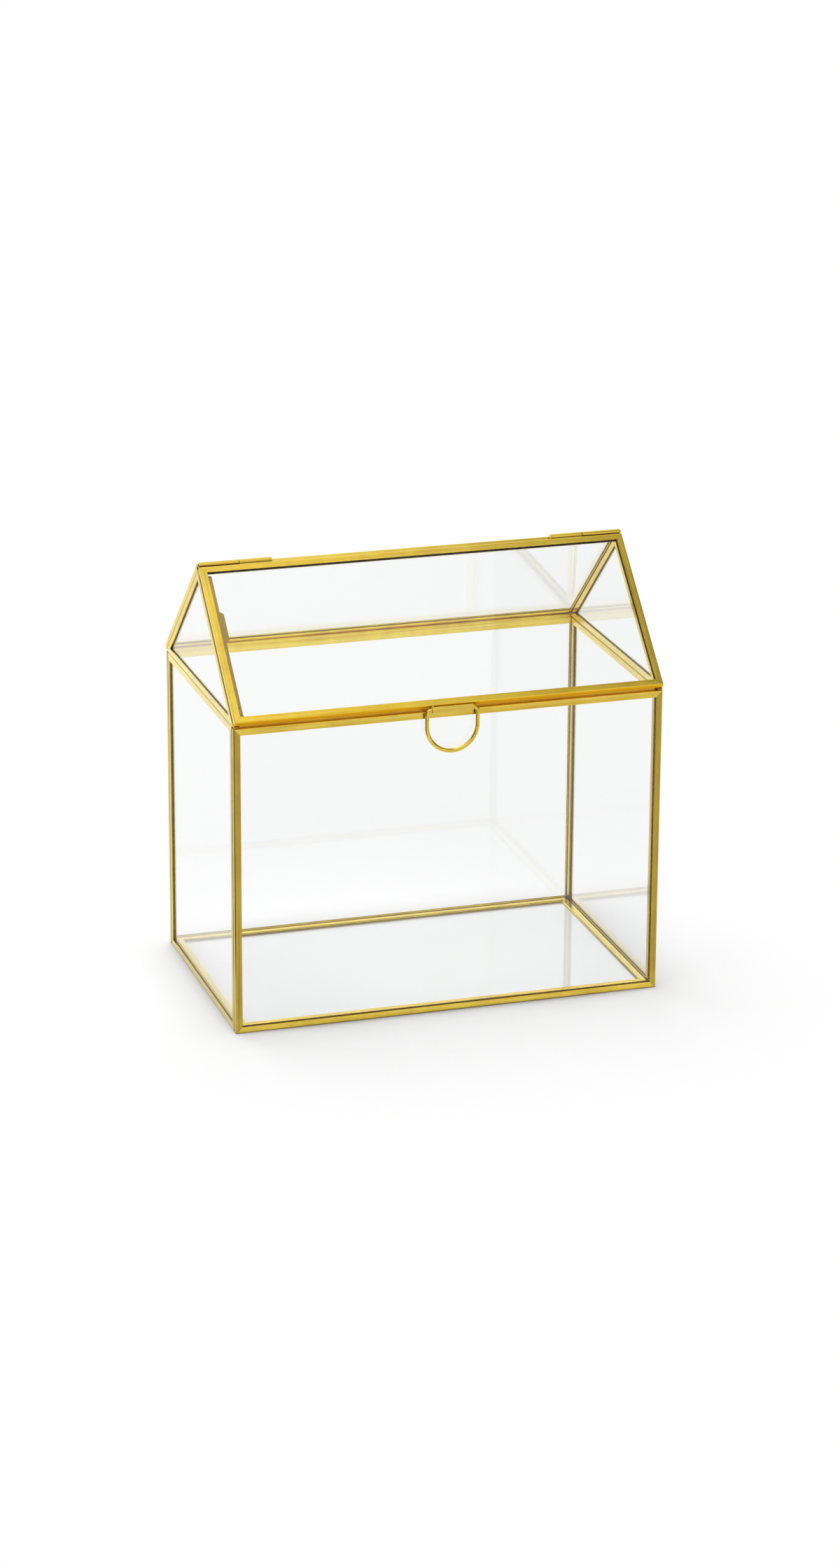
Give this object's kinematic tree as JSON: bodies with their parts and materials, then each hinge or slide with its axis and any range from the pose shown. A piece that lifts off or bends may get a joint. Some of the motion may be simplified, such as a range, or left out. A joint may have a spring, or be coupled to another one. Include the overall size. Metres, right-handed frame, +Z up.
{
  "type": "wedding card box",
  "caption": "House-shaped clear glass card box in brass channel frames, with a front roof pane hinged at the ridge as its lid and a round wire pull ring.",
  "frame": {"origin": "on the table, under the middle of the base's length and depth", "axes": "+X to the viewer's right along the length, -Y towards the front wall with the lid's pull ring, +Z up"},
  "size_m": [0.24, 0.1493, 0.2436],
  "materials": {
    "channel_brass": "satin, lightly brushed along each channel and lacquered",
    "round_brass": "satin, drawn wire and tube, lacquered",
    "clear_glass": "clear polished sheet glass"
  },
  "bodies": {
    "box": {"front_bottom_rail": "channel_brass", "front_right_post": "channel_brass", "front_top_rail": "channel_brass", "front_left_post": "channel_brass", "front_glass": "clear_glass", "back_bottom_rail": "channel_brass", "back_right_post": "channel_brass", "back_top_rail": "channel_brass", "back_left_post": "channel_brass", "back_glass": "clear_glass", "left_bottom_rail": "channel_brass", "left_back_post": "channel_brass", "left_top_rail": "channel_brass", "left_front_post": "channel_brass", "left_glass": "clear_glass", "right_bottom_rail": "channel_brass", "right_back_post": "channel_brass", "right_top_rail": "channel_brass", "right_front_post": "channel_brass", "right_glass": "clear_glass", "front_lid_rest": "channel_brass", "floor_front_rail": "channel_brass", "floor_right_rail": "channel_brass", "floor_back_rail": "channel_brass", "floor_left_rail": "channel_brass", "floor_glass": "clear_glass", "left_gable_base_rail": "channel_brass", "left_gable_back_rail": "channel_brass", "left_gable_front_rail": "channel_brass", "left_gable_glass": "clear_glass", "right_gable_base_rail": "channel_brass", "right_gable_back_rail": "channel_brass", "right_gable_front_rail": "channel_brass", "right_gable_glass": "clear_glass", "back_roof_bottom_rail": "channel_brass", "back_roof_left_rail": "channel_brass", "back_roof_top_rail": "channel_brass", "back_roof_right_rail": "channel_brass", "back_roof_glass": "clear_glass", "hinge_left_fixed_knuckle": "round_brass", "hinge_left_pin": "round_brass", "hinge_right_fixed_knuckle": "round_brass", "hinge_right_pin": "round_brass"},
    "lid": {"lid_bottom_rail": "channel_brass", "lid_right_rail": "channel_brass", "lid_top_rail": "channel_brass", "lid_left_rail": "channel_brass", "lid_glass": "clear_glass", "hinge_left_lid_knuckle": "round_brass", "hinge_right_lid_knuckle": "round_brass", "ring_tube": "round_brass", "prop_lug": "channel_brass", "prop_rivet": "round_brass"},
    "ring": {"pull_ring": "round_brass"},
    "prop": {"prop_strip": "channel_brass", "prop_tab": "channel_brass"}
  },
  "joints": [
    {"name": "lid_hinge", "type": "hinge", "parent": "box", "child": "lid", "pos_m": [0, 0, 0.24208], "axis": [-1, 0, 0], "range_deg": [0, 170]},
    {"name": "ring_swing", "type": "hinge", "parent": "lid", "child": "ring", "pos_m": [0, -0.07402, 0.17402], "axis": [-1, 0, 0], "range_deg": [0, 155]},
    {"name": "prop_swing", "type": "hinge", "parent": "lid", "child": "prop", "pos_m": [-0.1141, -0.06526, 0.17624], "axis": [-1, 0, 0], "range_deg": [0, 70]}
  ]
}
